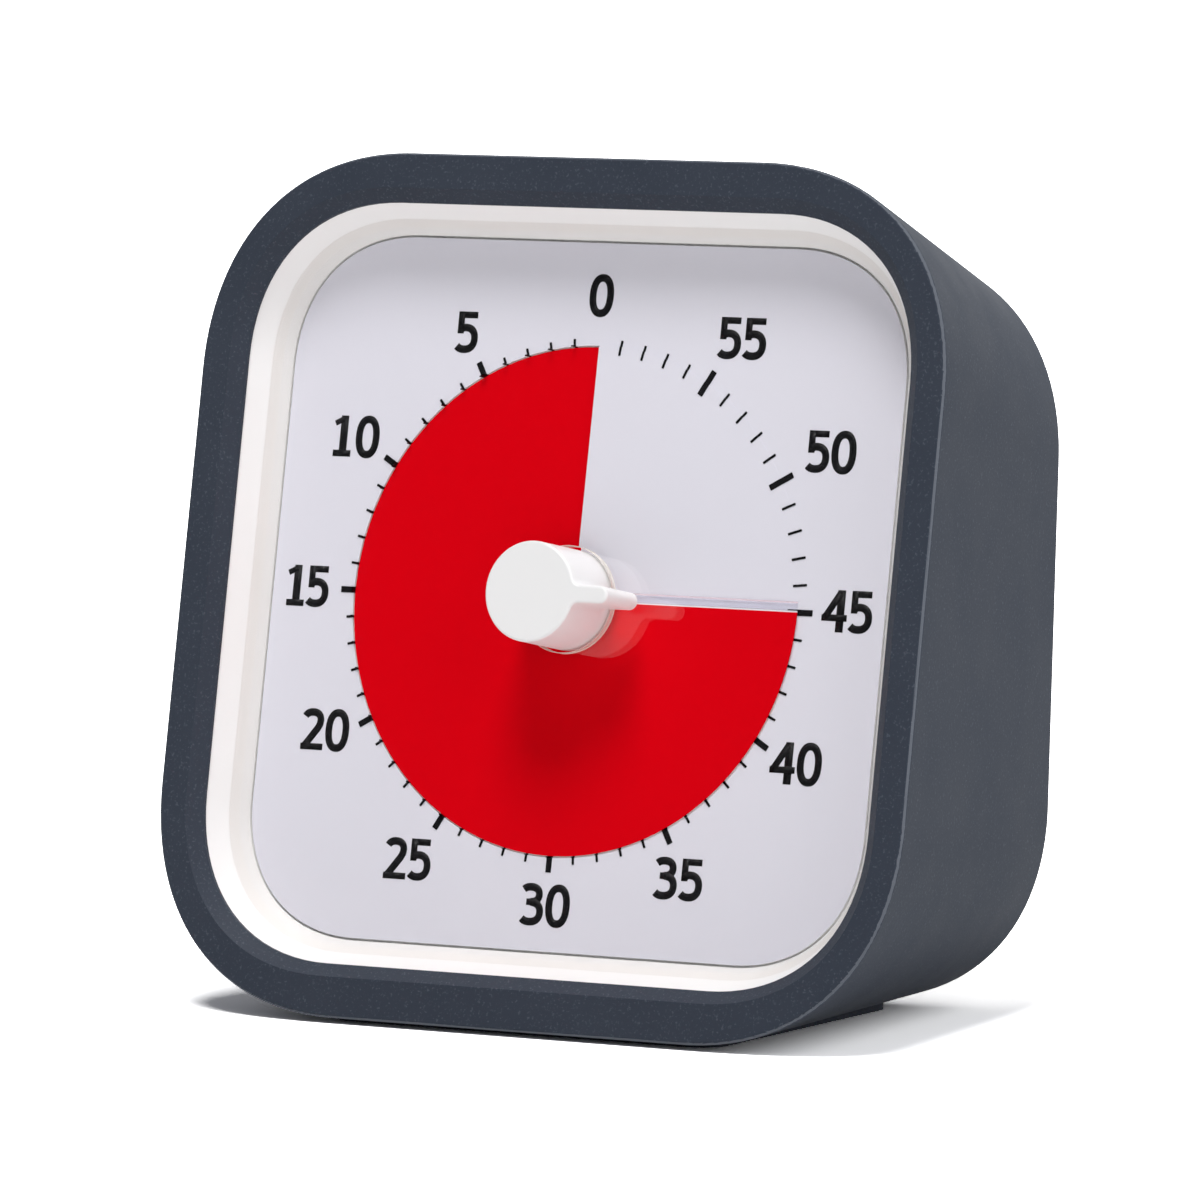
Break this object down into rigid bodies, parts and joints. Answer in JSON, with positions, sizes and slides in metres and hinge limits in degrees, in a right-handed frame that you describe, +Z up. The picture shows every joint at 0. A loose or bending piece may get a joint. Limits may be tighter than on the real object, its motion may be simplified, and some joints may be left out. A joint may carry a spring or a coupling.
{
  "type": "visual countdown timer",
  "caption": "Desk countdown timer: knob draws a red film disk out over a sixty-minute dial, in a leaning wedge case with a silicone cover.",
  "frame": {"origin": "middle of the footprint, on the table the timer stands on", "axes": "+Z up, -Y out of the leaning face towards the viewer, +X to the viewer's right"},
  "size_m": [0.088, 0.0484, 0.0889],
  "materials": {
    "silicone": "matte moulded silicone",
    "case_white": "satin moulded ABS",
    "lens_clear": "clear polished acrylic",
    "dial_print": "printed matt plastic",
    "film_red": "satin red film",
    "film_clear": "clear film",
    "knob_white": "satin moulded ABS",
    "steel": "turned and plated",
    "spring_steel": "nickel-plated",
    "iron": "stamped soft iron",
    "magnet": "sintered magnet with a moulded pinion",
    "movement_black": "moulded ABS",
    "gear_plastic": "moulded acetal",
    "bobbin_plastic": "moulded nylon",
    "copper": "enamelled winding wire",
    "board_green": "coated glass-fibre board",
    "resin_black": "cast resin",
    "cell_sleeve": "sleeved dry cell",
    "switch_black": "moulded nylon"
  },
  "bodies": {
    "case": {"silicone_cover": "silicone", "front_case": "case_white", "lens": "lens_clear", "dial_plate": "dial_print", "chassis": "case_white", "movement_screws": "steel", "movement_case": "movement_black", "movement_cover": "movement_black", "stator": "iron", "coil_core": "iron", "coil_bobbin": "bobbin_plastic", "coil": "copper", "rear_housing": "case_white", "case_screws": "steel", "battery": "cell_sleeve", "positive_contact": "spring_steel", "negative_contact": "spring_steel", "circuit_board": "board_green", "board_screws": "steel", "driver_chip": "resin_black", "quartz_crystal": "steel", "buzzer": "switch_black", "switch_body": "spring_steel"},
    "knob_group": {"knob": "knob_white", "knob_shaft": "steel", "shaft_clip": "spring_steel", "clutch_spring": "spring_steel"},
    "disk_group": {"timer_disk": "film_red", "disk_edge_strip": "film_clear", "disk_hub": "knob_white"},
    "rotor_group": {"rotor": "magnet"},
    "intermediate_group": {"intermediate_wheel": "gear_plastic"},
    "seconds_group": {"seconds_wheel": "gear_plastic"},
    "third_group": {"third_wheel": "gear_plastic"},
    "centre_group": {"centre_wheel": "gear_plastic"},
    "switch_group": {"switch_slider": "switch_black"},
    "door_group": {"battery_door": "case_white"}
  },
  "joints": [
    {"name": "knob_turn", "type": "hinge", "parent": "case", "child": "knob_group", "pos_m": [0, -0.00937, 0.04339], "axis": [0, -0.9823, 0.1874], "range_deg": [-270, 90]},
    {"name": "disk_advance", "type": "slide", "parent": "knob_group", "child": "disk_group", "axis": [0, -0.9823, 0.1874], "range_m": [-0.000375, 0.000125]},
    {"name": "rotor_spin", "type": "hinge", "parent": "case", "child": "rotor_group", "pos_m": [-0.01014, -0.00079, 0.04831], "axis": [0, -0.9823, 0.1874], "continuous": true},
    {"name": "intermediate_turn", "type": "hinge", "parent": "case", "child": "intermediate_group", "pos_m": [-0.00578, 0.00002, 0.05259], "axis": [0, -0.9823, 0.1874], "continuous": true},
    {"name": "seconds_turn", "type": "hinge", "parent": "case", "child": "seconds_group", "pos_m": [0.0004, -0.00014, 0.05174], "axis": [0, -0.9823, 0.1874], "continuous": true},
    {"name": "third_turn", "type": "hinge", "parent": "case", "child": "third_group", "pos_m": [0.00717, -0.00087, 0.04789], "axis": [0, -0.9823, 0.1874], "continuous": true},
    {"name": "centre_turn", "type": "hinge", "parent": "case", "child": "centre_group", "pos_m": [0, -0.002, 0.04198], "axis": [0, -0.9823, 0.1874], "continuous": true},
    {"name": "sound_switch_slide", "type": "slide", "parent": "case", "child": "switch_group", "axis": [1, 0, 0], "range_m": [0, 0.004]},
    {"name": "battery_door_open", "type": "hinge", "parent": "case", "child": "door_group", "pos_m": [-0.02885, 0.0184, 0.0171], "axis": [0, 0.0576, 0.9983], "range_deg": [0, 85]}
  ],
  "couplings": [
    {"joint": "knob_turn", "follows": "disk_advance", "rad_per_m": 12566},
    {"joint": "intermediate_turn", "follows": "rotor_spin", "ratio": -0.16667},
    {"joint": "seconds_turn", "follows": "rotor_spin", "ratio": 0.033333},
    {"joint": "third_turn", "follows": "rotor_spin", "ratio": -0.0044444},
    {"joint": "centre_turn", "follows": "rotor_spin", "ratio": 0.00055556}
  ]
}
